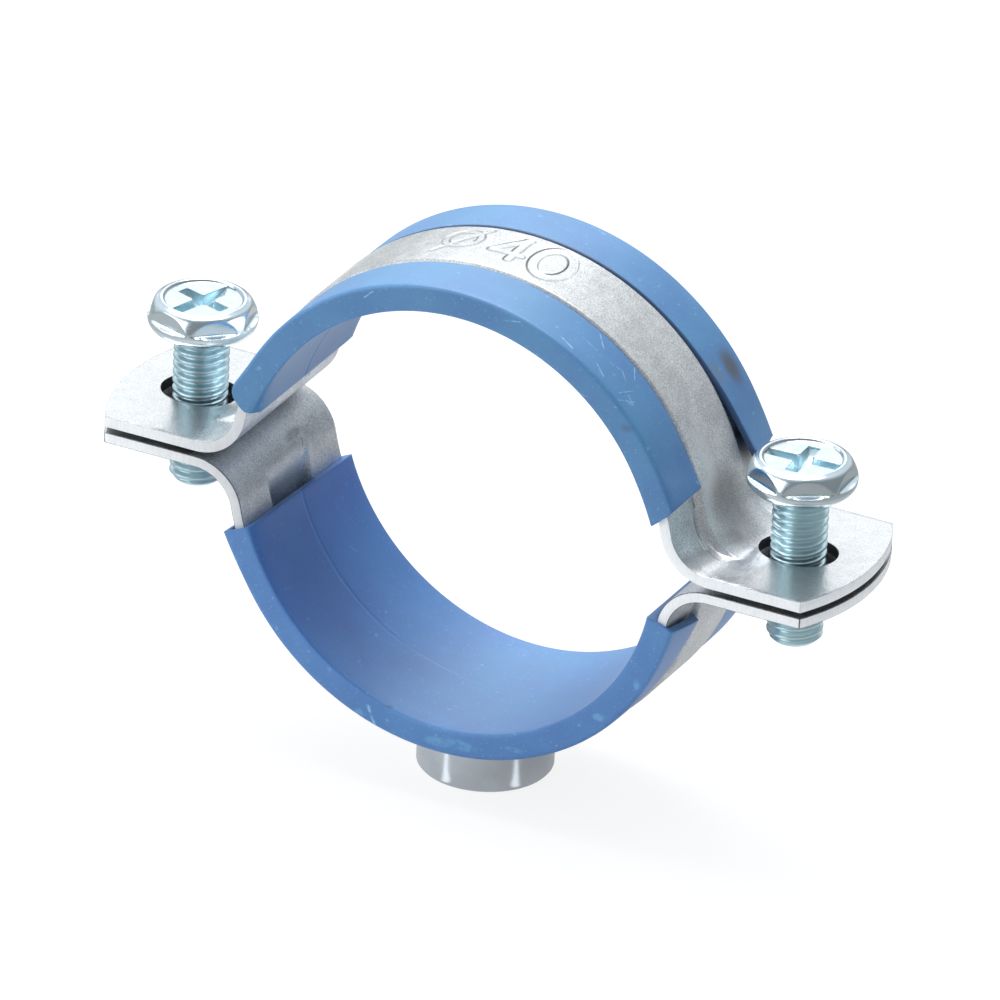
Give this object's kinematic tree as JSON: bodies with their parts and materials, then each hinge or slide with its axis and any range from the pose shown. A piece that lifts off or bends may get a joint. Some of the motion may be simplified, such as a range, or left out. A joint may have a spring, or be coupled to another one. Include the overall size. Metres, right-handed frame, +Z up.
{
  "type": "rubber lined pipe clamp",
  "caption": "Two-piece steel pipe clamp with rubber linings, a hexagon head screw in each ear and a threaded boss below for fixing to a wall or hanger rod.",
  "frame": {"origin": "centre of the threaded boss's bottom face, which is the middle of the part's base", "axes": "+Z up from the boss to the pipe axis, X along the ears, Y along the pipe"},
  "size_m": [0.0728, 0.0188, 0.0503],
  "materials": {
    "galvanised_sheet": "mottled galvanised sheet with a fine grain",
    "blue_rubber": "matte moulded rubber with fine specks",
    "zinc_plated_screw": "bright blue-white zinc plating",
    "zinc_plated_boss": "smooth bright zinc plating"
  },
  "bodies": {
    "lower_half": {"lower_strap": "galvanised_sheet", "lower_lining": "blue_rubber", "threaded_boss": "zinc_plated_boss"},
    "upper_half": {"upper_strap": "galvanised_sheet", "upper_lining": "blue_rubber"},
    "left_screw": {"left_screw": "zinc_plated_screw"},
    "right_screw": {"right_screw": "zinc_plated_screw"}
  },
  "joints": [
    {"name": "upper_half_lift", "type": "slide", "parent": "lower_half", "child": "upper_half", "axis": [0, 0, 1], "range_m": [-0.0005, 0.03]},
    {"name": "left_screw_travel", "type": "slide", "parent": "upper_half", "child": "left_screw", "axis": [0, 0, 1], "range_m": [-0.0053, 0.009]},
    {"name": "right_screw_travel", "type": "slide", "parent": "upper_half", "child": "right_screw", "axis": [0, 0, 1], "range_m": [-0.0053, 0.009]}
  ]
}
